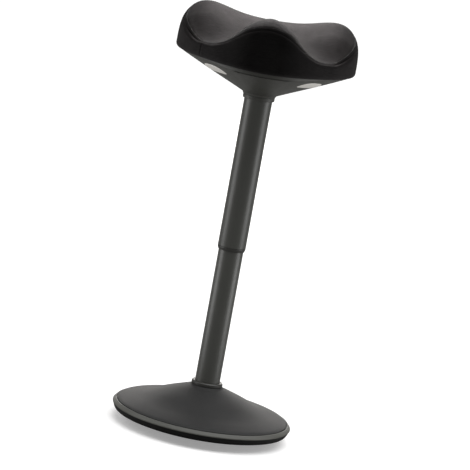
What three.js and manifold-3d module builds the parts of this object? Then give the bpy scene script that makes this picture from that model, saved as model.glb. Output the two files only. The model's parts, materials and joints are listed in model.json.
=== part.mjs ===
// Perch stool: saddle seat on a telescopic gas-lift column with a domed rocking base.
// Millimetres, +Z up. Origin: centre of the small flat at the bottom of the rocker sole.
// The front of the seat (the narrow nose with the pommel) points to -Y. Shown at full height.
import * as THREE from "three";
import * as BufferGeometryUtils from "three/addons/utils/BufferGeometryUtils.js";
import Module from "manifold-3d";

const wasm = await Module();
wasm.setup();

// ---------------------------------------------------------------- driving dimensions
const BASE_R = 180;            // widest circle of the base
const FLAT_R = 40;             // flat rest land under the sole
const DOME_R = 818;            // radius of the rocking dome
const TUBE_R = 25;             // lower column tube, outside
const TUBE_WALL = 2.2;
const TUBE_Z0 = 25.6, TUBE_Z1 = 420;
const SLEEVE_R = 28.1;         // upper tube, outside
const SLEEVE_WALL = 2;
const SLEEVE_Z0 = 378, SLEEVE_Z1 = 700;
const SLEEVE_END_Z = 370;      // bottom of the sleeve's guide ring
const STROKE = 260;            // height adjustment, downwards from here
const CYL_R = 14;              // gas cylinder
const CYL_Z0 = 318, CYL_Z1 = 726;
const ROD_R = 5;
const COLLAR_Z = 99.8;         // top of the column collar
const NECK_Z = 677;            // bottom of the neck ring
const SEAT_Z = 746.7;          // underside of the cushion
const WIDE_Z = 763;            // height where the cushion is widest
const GAP = 0.3;               // clearance between neighbouring pieces
const LEVER_ANGLE = 24;        // degrees that each release lever points forward of the side
const LEVER_PIVOT_R = 36, LEVER_PIVOT_Z = 734;
const N_SEAT = 36;             // facets round the seat
const N_BASE = 36;             // facets round the base
const N_TUBE = 24;             // facets round the column

// ---------------------------------------------------------------- colours
const C = {
  fabric: [0x1b1a1b, 0.95, 0], foam: [0x4a4a48, 0.95, 0], pan: [0x4a4b45, 0.5, 0],
  paddle: [0xcdc9c4, 0.45, 0], powder: [0x45463f, 0.42, 0.6], cover: [0x2f302f, 0.6, 0],
  rim: [0x5c5d57, 0.5, 0], rubber: [0x141414, 0.9, 0], steel: [0xb6b8ba, 0.3, 1],
  iron: [0x3a3b3c, 0.7, 0.8], wood: [0xc09a66, 0.7, 0], nylon: [0xe4e2da, 0.5, 0],
  black: [0x1c1d1e, 0.5, 0], zinc: [0x9fa3a6, 0.35, 1], chrome: [0xd8dadc, 0.15, 1],
};

// ---------------------------------------------------------------- helpers
const group = new THREE.Group();

function clean(geometry) {
  let g = geometry.clone();
  g.deleteAttribute("normal");
  if (g.attributes.uv) g.deleteAttribute("uv");
  g = BufferGeometryUtils.mergeVertices(g, 1e-4);
  const p = g.attributes.position, src = g.index.array, idx = [];
  for (let i = 0; i < src.length; i += 3) {
    const [a, b, c] = [src[i], src[i + 1], src[i + 2]];
    if (a !== b && b !== c && a !== c) idx.push(a, b, c);
  }
  let vol = 0;
  const A = new THREE.Vector3(), B = new THREE.Vector3(), D = new THREE.Vector3();
  for (let i = 0; i < idx.length; i += 3) {
    A.fromBufferAttribute(p, idx[i]); B.fromBufferAttribute(p, idx[i + 1]); D.fromBufferAttribute(p, idx[i + 2]);
    vol += A.dot(B.cross(D)) / 6;
  }
  if (vol < 0) for (let i = 0; i < idx.length; i += 3) [idx[i + 1], idx[i + 2]] = [idx[i + 2], idx[i + 1]];
  return { positions: new Float32Array(p.array), index: new Uint32Array(idx) };
}

function solid(geometry) {
  const { positions, index } = clean(geometry);
  return new wasm.Manifold(new wasm.Mesh({ numProp: 3, vertProperties: positions, triVerts: index }));
}

function geometryOf(manifold) {
  const m = manifold.getMesh();
  const g = new THREE.BufferGeometry();
  const n = m.numProp, count = m.vertProperties.length / n, pos = new Float32Array(count * 3);
  for (let i = 0; i < count; i++) for (let k = 0; k < 3; k++) pos[3 * i + k] = m.vertProperties[n * i + k];
  g.setAttribute("position", new THREE.BufferAttribute(pos, 3));
  g.setIndex(new THREE.BufferAttribute(new Uint32Array(m.triVerts), 1));
  g.computeVertexNormals();
  return g;
}

function add(name, shape, finish) {
  const s = shape.isBufferGeometry ? solid(shape) : shape;
  const [color, roughness, metalness] = C[finish];
  const mesh = new THREE.Mesh(geometryOf(s), new THREE.MeshStandardMaterial({ color, roughness, metalness }));
  mesh.name = name;
  group.add(mesh);
  return mesh;
}

// solid of revolution about Z; the profile [[r, z], ...] closes on itself
function lathe(profile, segments) {
  const pts = profile.map(([r, z]) => new THREE.Vector2(r, z));
  pts.push(pts[0].clone());
  const g = new THREE.LatheGeometry(pts, segments);
  g.rotateX(Math.PI / 2);
  return solid(g);
}
const tube = (r0, r1, z0, z1, n) => lathe([[r0, z0], [r1, z0], [r1, z1], [r0, z1]], n);

function cylinder(r, z0, z1, n, x = 0, y = 0) {
  const g = new THREE.CylinderGeometry(r, r, z1 - z0, n);
  g.rotateX(Math.PI / 2);
  g.translate(x, y, (z0 + z1) / 2);
  return solid(g);
}
function box(x0, x1, y0, y1, z0, z1) {
  const g = new THREE.BoxGeometry(x1 - x0, y1 - y0, z1 - z0);
  g.translate((x0 + x1) / 2, (y0 + y1) / 2, (z0 + z1) / 2);
  return g;
}
const cut = (a, ...bs) => bs.reduce((m, b) => m.subtract(b.isBufferGeometry ? solid(b) : b), a.isBufferGeometry ? solid(a) : a);
const join = (a, ...bs) => bs.reduce((m, b) => m.add(b.isBufferGeometry ? solid(b) : b), a.isBufferGeometry ? solid(a) : a);

// closed surface through rings of points; the ends are closed by a fan, or the last ring joins the first
function loft(rings, loop) {
  const n = rings[0].length, pos = [], idx = [];
  rings.forEach((r) => r.forEach((q) => pos.push(...q)));
  const last = loop ? rings.length : rings.length - 1;
  for (let k = 0; k < last; k++) {
    const k1 = (k + 1) % rings.length;
    for (let i = 0; i < n; i++) {
      const j = (i + 1) % n, a = k * n + i, b = k * n + j, c = k1 * n + i, d = k1 * n + j;
      idx.push(a, b, d, a, d, c);
    }
  }
  if (!loop) {
    for (const [k, flip] of [[0, true], [rings.length - 1, false]]) {
      const mid = [0, 0, 0];
      rings[k].forEach((q) => q.forEach((v, m) => { mid[m] += v / n; }));
      if (rings[k].centre) for (let m = 0; m < 3; m++) mid[m] = rings[k].centre[m];
      const c = pos.length / 3;
      pos.push(...mid);
      for (let i = 0; i < n; i++) {
        const j = (i + 1) % n;
        if (flip) idx.push(k * n + j, k * n + i, c); else idx.push(k * n + i, k * n + j, c);
      }
    }
  }
  const g = new THREE.BufferGeometry();
  g.setAttribute("position", new THREE.Float32BufferAttribute(pos, 3));
  g.setIndex(idx);
  g.computeVertexNormals();
  return g;
}

const clamp01 = (t) => Math.min(1, Math.max(0, t));
const sstep = (t) => { const c = clamp01(t); return c * c * (3 - 2 * c); };
const deg = (a) => (a * Math.PI) / 180;

// ---------------------------------------------------------------- seat shape
// right half of the cushion's widest outline, nose to rear
const OUTLINE = [
  [0, -146], [28.3, -142], [55.5, -130], [83, -111], [109, -87], [132.5, -60.5], [152.5, -32], [168.7, -2],
  [177.8, 29], [179.8, 58.5], [172.7, 90.5], [152.5, 118], [120.2, 135], [80.8, 141], [40.4, 139], [0, 136],
];
const outlineCurve = new THREE.CatmullRomCurve3(
  [...OUTLINE, ...OUTLINE.slice(1, -1).reverse().map(([x, y]) => [-x, y])].map(([x, y]) => new THREE.Vector3(x, y, 0)),
  true, "centripetal");
const RIM = outlineCurve.getSpacedPoints(N_SEAT).slice(0, N_SEAT).map((p, i) => {
  const t = outlineCurve.getTangentAt(i / N_SEAT);
  return { x: p.x, y: p.y, nx: t.y, ny: -t.x };
});

// height of the saddle surface
function zTop(x, y) {
  const ax = Math.abs(x);
  const bowl = 777.3 + 42.6 * sstep((y + 56.8) / 187.6) - 8.9 * clamp01((ax - 118) / 60) ** 2;
  const spread = ax < 131.8 ? 41 : 35.8;
  const lobe = 23.6 * Math.exp(-((ax - 131.8) ** 2) / (2 * spread * spread)) * sstep((y + 48.4) / 90) * (1 - 0.3 * sstep((y - 85) / 50));
  const amp = (71.6 - 15.7 * clamp01((-y - 84) / 55.5) ** 2.6) * (1 - sstep((y + 86) / 95));
  const w = 130 - 15.8 * sstep((y + 50) / 100);
  const ridge = ax < w ? Math.cos((Math.PI * ax) / (2 * w)) ** 2.68 : 0;
  return bowl + lobe + amp * ridge;
}
// how near a rim point is to the nose (1) or the sides (0)
const nose = (q) => sstep((-q.y - 70) / 60);
const inset = (q, d) => [q.x - q.nx * d, q.y - q.ny * d];
const CORNER_INSET = 5;        // the cushion's bottom corner
const PAN_INSET = 11.8;        // the pan's rim

const ring = (fn) => RIM.map((q) => fn(q));
function seatRings(off, drop) {
  // side rings from the bottom corner up, then the top rings inwards; off and drop shrink the whole surface
  const rings = [];
  rings.push(ring((q) => [...inset(q, CORNER_INSET + off * 0.6), SEAT_Z + off * 0.95]));
  rings.push(ring((q) => [...inset(q, 0.8 + off), SEAT_Z + 3.8 + off * 0.4]));
  rings.push(ring((q) => [...inset(q, off), WIDE_Z]));
  const seam = (q) => { const [x, y] = inset(q, 6.5); return zTop(x, y); };
  rings.push(ring((q) => [...inset(q, 1.8 + off), Math.max(WIDE_Z + 2, (WIDE_Z + 2 * seam(q)) / 3)]));
  rings.push(ring((q) => { const [x, y] = inset(q, 6.5 + off); return [x, y, seam(q) - drop * 0.8]; }));
  for (const s of [0.88, 0.68, 0.46, 0.22]) {
    rings.push(ring((q) => { const [x, y] = inset(q, 6.5 + off); return [x * s, y * s, zTop(x * s, y * s) - drop]; }));
  }
  rings[rings.length - 1].centre = [0, 0, zTop(0, 0) - drop];
  return rings;
}

// fabric cover: a skin 1.5 mm thick over the foam, its hem turned in under the edge
{
  const outer = seatRings(0, 0), inner = seatRings(1.6, 1.9);
  const hemOut = ring((q) => [...inset(q, 21.5), SEAT_Z]);
  const hemIn = ring((q) => [...inset(q, 21.5), SEAT_Z + 1.5]);
  const oc = outer[outer.length - 1].centre, ic = inner[inner.length - 1].centre;
  const loop = [...outer.slice().reverse(), hemOut, hemIn, ...inner];
  loop[0].centre = oc; loop[loop.length - 1].centre = ic;
  add("seat_cover", loft(loop, false), "fabric");
}
const BOARD_INSET = 22.6, BOARD_Z0 = 748.5, BOARD_Z1 = 758.5;
{
  const body = seatRings(2.4, 2.9);
  body[0] = ring((q) => [...inset(q, CORNER_INSET + 1.6), SEAT_Z + 2]);
  const pocketTop = ring((q) => [...inset(q, BOARD_INSET - 0.4), BOARD_Z1 + 2.4]);
  const pocketBottom = ring((q) => [...inset(q, BOARD_INSET - 0.4), SEAT_Z + 2]);
  pocketTop.centre = [0, 0, BOARD_Z1 + 2.4];
  add("seat_foam", loft([pocketTop, pocketBottom, ...body], false), "foam");
}

// ---------------------------------------------------------------- screws and seat board
const BRACKET_SCREWS = [[50, 44], [-50, 44], [-50, -44], [50, -44]];
const PAN_SCREWS = [[118, 34], [-118, 34], [46, 88], [-46, 88]];
{
  const shape = new THREE.Shape(ring((q) => new THREE.Vector2(...inset(q, BOARD_INSET))));
  const g = new THREE.ExtrudeGeometry(shape, { depth: BOARD_Z1 - BOARD_Z0, bevelEnabled: false });
  g.translate(0, 0, BOARD_Z0);
  const holes = [];
  for (const [x, y] of BRACKET_SCREWS) holes.push(cylinder(4.5, BOARD_Z0 - 1, BOARD_Z1 + 1, 8, x, y));
  for (const [x, y] of PAN_SCREWS) holes.push(cylinder(2.1, BOARD_Z0 - 1, BOARD_Z0 + 8.5, 8, x, y));
  add("seat_board", cut(g, ...holes), "wood");
}
BRACKET_SCREWS.forEach(([x, y], i) => {
  const nut = lathe([[3.3, BOARD_Z0 + 1], [4.1, BOARD_Z0 + 1], [4.1, BOARD_Z1 + GAP], [9.5, BOARD_Z1 + GAP], [9.5, BOARD_Z1 + 1.7], [3.3, BOARD_Z1 + 1.7]], 8);
  add(`tee_nut_${i + 1}`, nut.translate([x, y, 0]), "zinc");
  const screw = lathe([[0, 740.6], [5.4, 740.6], [5.4, 743.9], [3, 743.9], [3, 757.8], [0, 757.8]], 8);
  add(`bracket_screw_${i + 1}`, screw.translate([x, y, 0]), "zinc");
});

// ---------------------------------------------------------------- seat pan
const PAN_TOP = SEAT_Z - 0.4;
const NECK_R = 33.5, NECK_TOP = 687.6, FLANK_R = 36.4, FLANK_Z = 690, FLANK_BULGE = 1.1;
const panEdge = (q) => inset(q, PAN_INSET);
const rimHeight = (q) => 2.9 + 4.6 * nose(q);
const polar = (q) => { const [x, y] = panEdge(q); const r = Math.hypot(x, y); return { r, c: x / r, s: y / r }; };
// the pan's outer surface above a point of the plan
function panFlank(x, y) {
  const a = Math.atan2(y, x), r = Math.hypot(x, y);
  let best = null, d = 9;
  for (let i = 0; i < RIM.length; i++) {
    const p = polar(RIM[i]);
    const e = Math.abs(Math.atan2(Math.sin(Math.atan2(p.s, p.c) - a), Math.cos(Math.atan2(p.s, p.c) - a)));
    if (e < d) { d = e; best = { p, q: RIM[i] }; }
  }
  return FLANK_Z + ((r - FLANK_R) * (PAN_TOP - rimHeight(best.q) - FLANK_Z)) / (best.p.r - FLANK_R);
}
// plan frame of the left (side = -1) or right (side = 1) release lever: u outwards, v sideways to the front
function leverFrame(side) {
  const a = deg(LEVER_ANGLE);
  const u = [side * Math.cos(a), -Math.sin(a)], v = [-side * Math.sin(a), -Math.cos(a)];
  const at = (r, w) => [u[0] * r + v[0] * w, u[1] * r + v[1] * w];
  return { u, v, at };
}
// geometry given in lever axes (x = out along the lever, y = sideways, z = up) put in its place
function placed(geometry, side) {
  const { u, v } = leverFrame(side);
  const g = geometry.clone();
  g.applyMatrix4(new THREE.Matrix4().set(u[0], v[0], 0, 0, u[1], v[1], 0, 0, 0, 0, 1, 0, 0, 0, 0, 1));
  return solid(g);
}
// outline of a release paddle in lever axes: a blade that follows the rim of the pan
const PADDLE = [
  [90.5, 36], [99, 35], [106.5, 30.2], [112, 21.5], [116, 10], [118, -3], [118, -16], [115.5, -28], [110, -37],
  [102, -41], [96.4, -38.5], [95.8, -25], [95.2, -10], [94.6, 4], [92.8, 20],
];
// the outline grown by d all round, as a shape
function grown(points, d) {
  const n = points.length, shape = new THREE.Shape();
  points.forEach(([x, y], i) => {
    const [ax, ay] = points[(i + n - 1) % n], [bx, by] = points[(i + 1) % n];
    const la = Math.hypot(x - ax, y - ay), lb = Math.hypot(bx - x, by - y);
    const m = [-(y - ay) / la - (by - y) / lb, (x - ax) / la + (bx - x) / lb], k = (2 * d) / (m[0] * m[0] + m[1] * m[1]);
    const q = [x + m[0] * k, y + m[1] * k];
    if (i) shape.lineTo(...q); else shape.moveTo(...q);
  });
  shape.closePath();
  return shape;
}
{
  const circle = (r, z) => RIM.map((q) => { const p = polar(q); return [r * p.c, r * p.s, z]; });
  const wall = 3.3;
  const outer = [
    circle(31.8, 684.6), circle(32.3, 685.2), circle(32.8, 686.4), circle(NECK_R, NECK_TOP),
    circle(FLANK_R, FLANK_Z),
    ring((q) => { const p = polar(q), z = PAN_TOP - rimHeight(q); return [p.c * (FLANK_R + 0.5 * (p.r - FLANK_R)), p.s * (FLANK_R + 0.5 * (p.r - FLANK_R)), FLANK_Z + 0.5 * (z - FLANK_Z) - FLANK_BULGE]; }),
    ring((q) => { const p = polar(q), z = PAN_TOP - rimHeight(q); return [p.c * (p.r - 1.2), p.s * (p.r - 1.2), z - 0.3]; }),
    ring((q) => { const p = polar(q), z = PAN_TOP - rimHeight(q); return [p.c * p.r, p.s * p.r, z + 1.4]; }),
    ring((q) => [...panEdge(q), PAN_TOP]),
  ];
  const inner = [
    ring((q) => { const p = polar(q); return [p.c * (p.r - 3.4), p.s * (p.r - 3.4), PAN_TOP]; }),
    ring((q) => { const p = polar(q), z = PAN_TOP - rimHeight(q); return [p.c * (p.r - 4.4), p.s * (p.r - 4.4), Math.min(z + wall - 1, PAN_TOP - 0.8)]; }),
    ring((q) => { const p = polar(q), z = PAN_TOP - rimHeight(q); return [p.c * (FLANK_R + 0.5 * (p.r - FLANK_R)), p.s * (FLANK_R + 0.5 * (p.r - FLANK_R)), FLANK_Z + 0.5 * (z - FLANK_Z) - FLANK_BULGE + wall]; }),
    circle(FLANK_R - 1.5, FLANK_Z + wall - 0.6), circle(28.6, 691), circle(28.6, 684.6),
  ];
  let pan = solid(loft([...outer, ...inner], true));
  for (const [x, y] of PAN_SCREWS) pan = join(pan, cylinder(6, panFlank(x, y) + 1.6, BOARD_Z0 - GAP, 10, x, y));
  for (const [x, y] of PAN_SCREWS) {
    pan = cut(pan, cylinder(4.2, 690, 741.2, 8, x, y), cylinder(2.1, 740, 750, 8, x, y));
  }
  for (const side of [-1, 1]) {
    const hole = new THREE.ExtrudeGeometry(grown(PADDLE, 1.4), { depth: 60, bevelEnabled: false });
    hole.translate(0, 0, 690);
    pan = cut(pan, placed(hole, side));
  }
  add("seat_pan", pan, "pan");
}
PAN_SCREWS.forEach(([x, y], i) => {
  const s = lathe([[0, 738.4], [3.8, 738.4], [3.8, 740.9], [1.75, 740.9], [1.75, 754.6], [0, 756.2]], 8);
  add(`pan_screw_${i + 1}`, s.translate([x, y, 0]), "black");
});

// ---------------------------------------------------------------- mechanism bracket
const PLATE_Z0 = 744.2, PLATE_Z1 = 748.2;
const WEB_Z0 = 721.5, WEB_Z1 = 725.5, SOCKET_Z0 = 688;
{
  const shape = new THREE.Shape();
  const hx = 60, hy = 54, r = 8;
  shape.moveTo(-hx + r, -hy); shape.lineTo(hx - r, -hy); shape.lineTo(hx, -hy + r); shape.lineTo(hx, hy - r);
  shape.lineTo(hx - r, hy); shape.lineTo(-hx + r, hy); shape.lineTo(-hx, hy - r); shape.lineTo(-hx, -hy + r); shape.closePath();
  const plate = new THREE.ExtrudeGeometry(shape, { depth: PLATE_Z1 - PLATE_Z0, bevelEnabled: false });
  plate.translate(0, 0, PLATE_Z0);
  let b = join(plate, box(-24, 24, 30, 34, WEB_Z0, PLATE_Z0 + 1), box(-24, 24, -34, -30, WEB_Z0, PLATE_Z0 + 1),
    box(-24, 24, -34, 34, WEB_Z0, WEB_Z1), cylinder(21, SOCKET_Z0, WEB_Z0 + 1, 20), cylinder(SLEEVE_R - SLEEVE_WALL - GAP, SOCKET_Z0, SLEEVE_Z1, N_TUBE));
  for (const side of [-1, 1]) {
    b = join(b, placed(box(LEVER_PIVOT_R - 7, LEVER_PIVOT_R + 7, 6.6, 9.6, 728.5, PLATE_Z0 + 1), side));
    b = join(b, placed(box(LEVER_PIVOT_R - 7, LEVER_PIVOT_R + 7, -9.6, -6.6, 728.5, PLATE_Z0 + 1), side));
    const hole = new THREE.CylinderGeometry(2.8, 2.8, 40, 10);
    hole.translate(LEVER_PIVOT_R, 0, LEVER_PIVOT_Z);
    b = cut(b, placed(hole, side));
  }
  b = cut(b, cylinder(CYL_R + GAP, SOCKET_Z0 - 1, WEB_Z1 + 1, 20));
  for (const [x, y] of BRACKET_SCREWS) b = cut(b, cylinder(3.5, PLATE_Z0 - 1, PLATE_Z1 + 1, 8, x, y));
  add("mechanism_bracket", b, "steel");
}
// ---------------------------------------------------------------- release levers
const LEVER_SWING = 5.5;       // degrees
const BUTTON_TOP = 730.6;      // 0.4 below the lever tips
for (const side of [-1, 1]) {
  const name = side < 0 ? "left" : "right";
  const pin = new THREE.CylinderGeometry(2.5, 2.5, 23, 10);
  pin.translate(LEVER_PIVOT_R, 0, LEVER_PIVOT_Z);
  add(`${name}_lever_pin`, placed(pin, side), "zinc");
  // arm: flat bar with a boss round the pin and a narrow tip over the valve button
  const plan = new THREE.Shape();
  [[4, -2.2], [10, -4.6], [12, -5], [94, -5], [94, 5], [12, 5], [10, 4.6], [4, 2.2]].forEach(([x, y], i) => (i ? plan.lineTo(x, y) : plan.moveTo(x, y)));
  const bar = new THREE.ExtrudeGeometry(plan, { depth: 6, bevelEnabled: false });
  bar.translate(0, 0, 731);
  const boss = new THREE.CylinderGeometry(5.6, 5.6, 10, 14);
  boss.translate(LEVER_PIVOT_R, 0, LEVER_PIVOT_Z);
  const bore = new THREE.CylinderGeometry(2.8, 2.8, 14, 10);
  bore.translate(LEVER_PIVOT_R, 0, LEVER_PIVOT_Z);
  add(`${name}_lever_arm`, cut(join(placed(bar, side), placed(boss, side)), placed(bore, side)), "steel");
  // paddle: plate in the slope of the pan, a little proud of it
  const plate = new THREE.ExtrudeGeometry(grown(PADDLE, 0), { depth: 1, bevelEnabled: false });
  const pos = plate.attributes.position, { at } = leverFrame(side);
  const under = (x, y) => 669.3 + 0.4487 * Math.abs(x) - 0.3163 * y;
  for (let i = 0; i < pos.count; i++) {
    const [x, y] = at(pos.getX(i), pos.getY(i));
    pos.setZ(i, under(x, y) + (pos.getZ(i) > 0.5 ? 3.4 : 0));
  }
  // block that the arm plugs into
  let paddle = join(placed(plate, side), placed(box(76, 108, -8, 8, 729.2, 738.6), side));
  paddle = cut(paddle, placed(box(60, 94.4, -5.4, 5.4, 730.6, 737.4), side));
  add(`${name}_lever_paddle`, paddle, "paddle");
}

// ---------------------------------------------------------------- gas cylinder, button, rod
add("gas_cylinder", lathe([[12.5, CYL_Z0], [CYL_R - 0.6, CYL_Z0], [CYL_R, CYL_Z0 + 0.8], [CYL_R, CYL_Z1 - 1], [CYL_R - 1, CYL_Z1], [3.4, CYL_Z1], [3.4, 708], [12.5, 708]], 20), "black");
add("valve_button", lathe([[0, 706], [3, 706], [3, CYL_Z1 + 3.4], [5.5, CYL_Z1 + 3.4], [5.5, BUTTON_TOP], [0, BUTTON_TOP]], 12), "zinc");
add("cylinder_gland", tube(ROD_R + GAP, 12.2, CYL_Z0 + 0.6, CYL_Z0 + 14, 12), "nylon");
add("piston", tube(ROD_R + GAP, 12.1, 335, 345, 12), "nylon");
add("piston_rod", lathe([[0, 16], [ROD_R, 16], [ROD_R, 21.4], [4.1, 21.4], [4.1, 23.6], [ROD_R, 23.6], [ROD_R, 38.8], [9, 38.8], [9, 41.6], [ROD_R, 41.6], [ROD_R, 350], [0, 350]], 12), "chrome");
add("rod_clip", tube(4.4, 9, 21.9, 23.1, 12), "steel");
add("upper_race", tube(ROD_R + GAP, 15, 36.4, 38.4, 12), "steel");
{
  // eight balls held in a thin cage ring
  let cage = tube(7.5, 15, 34.1, 35.1, 12);
  for (let i = 0; i < 8; i++) {
    const ball = new THREE.SphereGeometry(1.45, 6, 4);
    ball.translate(11.2 * Math.cos((i * Math.PI) / 4), 11.2 * Math.sin((i * Math.PI) / 4), 34.6);
    cage = join(cage, ball);
  }
  add("ball_cage", cage, "steel");
}
add("lower_race", tube(ROD_R + GAP + 0.6, 15, 30.6, 32.8, 12), "steel");
add("bump_buffer", tube(ROD_R + GAP, 12.5, 42, 53, 12), "rubber");

// ---------------------------------------------------------------- column
add("sleeve_tube", tube(SLEEVE_R - SLEEVE_WALL, SLEEVE_R, SLEEVE_Z0, SLEEVE_Z1, N_TUBE), "powder");
add("sleeve_guide_ring", lathe([
  [TUBE_R + GAP, SLEEVE_END_Z], [26.5, SLEEVE_END_Z], [SLEEVE_R, SLEEVE_END_Z + 5], [SLEEVE_R, SLEEVE_Z0 - GAP],
  [SLEEVE_R - SLEEVE_WALL - GAP, SLEEVE_Z0 - GAP], [SLEEVE_R - SLEEVE_WALL - GAP, SLEEVE_Z0 + 22], [TUBE_R + GAP, SLEEVE_Z0 + 22],
], N_TUBE), "black");
add("neck_ring", lathe([[28.4, NECK_Z], [31.6, NECK_Z], [31.6, 684.2], [28.4, 684.2]], N_TUBE), "pan");
add("column_tube", tube(TUBE_R - TUBE_WALL, TUBE_R, TUBE_Z0, TUBE_Z1, N_TUBE), "powder");
add("guide_bush", lathe([
  [CYL_R + 0.5, 330], [TUBE_R - TUBE_WALL - GAP, 330], [TUBE_R - TUBE_WALL - GAP, TUBE_Z1 + GAP], [TUBE_R - 0.4, TUBE_Z1 + GAP],
  [TUBE_R - 0.4, TUBE_Z1 + 4], [CYL_R + 0.5, TUBE_Z1 + 4],
], N_TUBE), "nylon");
add("tube_end_disc", tube(5.9, TUBE_R - TUBE_WALL - GAP, 26.6, 30.2, N_TUBE), "steel");
add("column_collar", lathe([
  [TUBE_R + GAP, 84.6], [28.6, 84.6], [28.6, 91.9], [31.2, 92.6], [31.2, 96.6], [28, COLLAR_Z], [TUBE_R + GAP, COLLAR_Z],
], N_TUBE), "pan");

// ---------------------------------------------------------------- base
const HUB_SCREWS = [45, 135, 225, 315].map((a) => [43 * Math.cos(deg(a)), 43 * Math.sin(deg(a))]);
const BALLAST_SCREWS = [0, 90, 180, 270].map((a) => [112 * Math.cos(deg(a)), 112 * Math.sin(deg(a))]);
const dome = (r) => (r <= FLAT_R ? 0 : (r * r - FLAT_R * FLAT_R) / (2 * DOME_R));
const BALLAST_TOP = 25, BALLAST_R = 148;

add("hub_socket", (() => {
  let h = lathe([[TUBE_R + GAP, 25.3], [55, 25.3], [55, 29.3], [29, 29.3], [29, 84.2], [TUBE_R + GAP, 84.2]], N_TUBE);
  for (const [x, y] of HUB_SCREWS) h = cut(h, cylinder(3.5, 24, 31, 8, x, y));
  return h;
})(), "steel");
HUB_SCREWS.forEach(([x, y], i) => {
  const s = lathe([[0, 13], [3, 13], [3, 29.6], [5.2, 29.6], [5.2, 32.8], [0, 32.8]], 8);
  add(`hub_screw_${i + 1}`, s.translate([x, y, 0]), "zinc");
});
{
  const radii = [FLAT_R, 95, BALLAST_R];
  const lower = radii.map((r) => [r, dome(r) + 7.7]);
  let plate = lathe([[0, 12], [22, 12], [22, BALLAST_TOP], [BALLAST_R, BALLAST_TOP], ...lower.reverse(), [0, 7.7]], N_BASE);
  for (const [x, y] of HUB_SCREWS) plate = cut(plate, cylinder(3.4, 11.5, 26, 8, x, y));
  for (const [x, y] of BALLAST_SCREWS) plate = cut(plate, cylinder(3.4, 10, 26, 8, x, y), cylinder(7, 5, 20.4, 10, x, y));
  add("ballast_plate", plate, "iron");
}
BALLAST_SCREWS.forEach(([x, y], i) => {
  const s = lathe([[0, 14.4], [3, 14.4], [3, 25.3], [5.2, 25.3], [5.2, 28.5], [0, 28.5]], 8);
  add(`ballast_screw_${i + 1}`, s.translate([x, y, 0]), "zinc");
});
{
  // sole: rubber skin over the dome, turned up round the edge
  const under = [95, 152].map((r) => [r, dome(r)]);
  const over = [152, 95, FLAT_R].map((r) => [r, dome(r) + 4]);
  add("rocker_sole", lathe([
    [0, 0], [FLAT_R, 0], ...under, [170, 17.2], [174.8, 19.8], [177.1, 24], [179.2, 29.6],
    [166, 29.6], [164.4, 20.6], ...over, [0, 4],
  ], N_BASE), "rubber");
  const low = [95, 152].map((r) => [r, dome(r) + 4.3]);
  const high = [152, 95, FLAT_R].map((r) => [r, dome(r) + 7.3]);
  let pan = lathe([
    [0, 4.3], [FLAT_R, 4.3], ...low, [163.6, 20.6], [165.4, 29.9], [BASE_R, 29.9], [BASE_R, 31.7], [174, 38], [172.8, 38],
    [172.8, 34.6], [162.5, 34.6], [160.6, 23.6], ...high, [0, 7.3],
  ], N_BASE);
  for (const [x, y] of BALLAST_SCREWS) pan = join(pan, cylinder(6.6, 12.5, 20, 10, x, y));
  for (const [x, y] of BALLAST_SCREWS) pan = cut(pan, cylinder(3.4, 14, 21, 8, x, y));
  add("base_pan", pan, "rim");
}
{
  const out = [[172.4, 38.8], [162, 43.3], [144, 48.4], [120, 55], [90, 67.6], [60, 79.2], [38, 87.6], [31.6, 91.6]];
  const inn = [[29.3, 91.6], [29.3, 86.2], [60, 74.6], [120, 52.4], [160, 40], [168, 36.6], [168, 34.9]];
  add("base_cover", lathe([...out, ...inn, [172.4, 34.9]], N_BASE), "cover");
}

export default group;
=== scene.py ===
# Perch stool: saddle seat, telescopic column, rocking base.
# Lengths in the builders below are in millimetres and are turned into metres when a mesh is made.
import bpy, bmesh, json, math
import numpy as np
from mathutils import Matrix, Vector, kdtree
from mathutils.bvhtree import BVHTree

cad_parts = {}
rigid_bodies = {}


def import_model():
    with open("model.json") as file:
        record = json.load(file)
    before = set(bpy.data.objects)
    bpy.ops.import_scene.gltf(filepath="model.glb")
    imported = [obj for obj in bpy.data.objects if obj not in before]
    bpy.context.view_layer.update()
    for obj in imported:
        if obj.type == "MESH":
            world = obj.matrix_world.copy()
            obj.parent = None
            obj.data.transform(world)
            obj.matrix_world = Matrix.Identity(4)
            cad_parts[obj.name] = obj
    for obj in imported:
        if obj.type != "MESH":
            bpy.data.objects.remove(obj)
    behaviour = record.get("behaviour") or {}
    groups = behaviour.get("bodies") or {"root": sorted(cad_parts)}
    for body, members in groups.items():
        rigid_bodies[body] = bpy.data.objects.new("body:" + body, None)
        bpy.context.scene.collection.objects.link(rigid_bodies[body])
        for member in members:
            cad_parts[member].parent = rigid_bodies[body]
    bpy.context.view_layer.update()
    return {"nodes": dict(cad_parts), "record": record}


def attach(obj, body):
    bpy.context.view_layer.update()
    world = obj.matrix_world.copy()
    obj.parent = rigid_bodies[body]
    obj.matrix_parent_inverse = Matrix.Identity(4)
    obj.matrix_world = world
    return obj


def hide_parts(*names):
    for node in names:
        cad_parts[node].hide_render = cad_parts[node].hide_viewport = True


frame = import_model()
scene = bpy.context.scene
MM = 0.001


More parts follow.
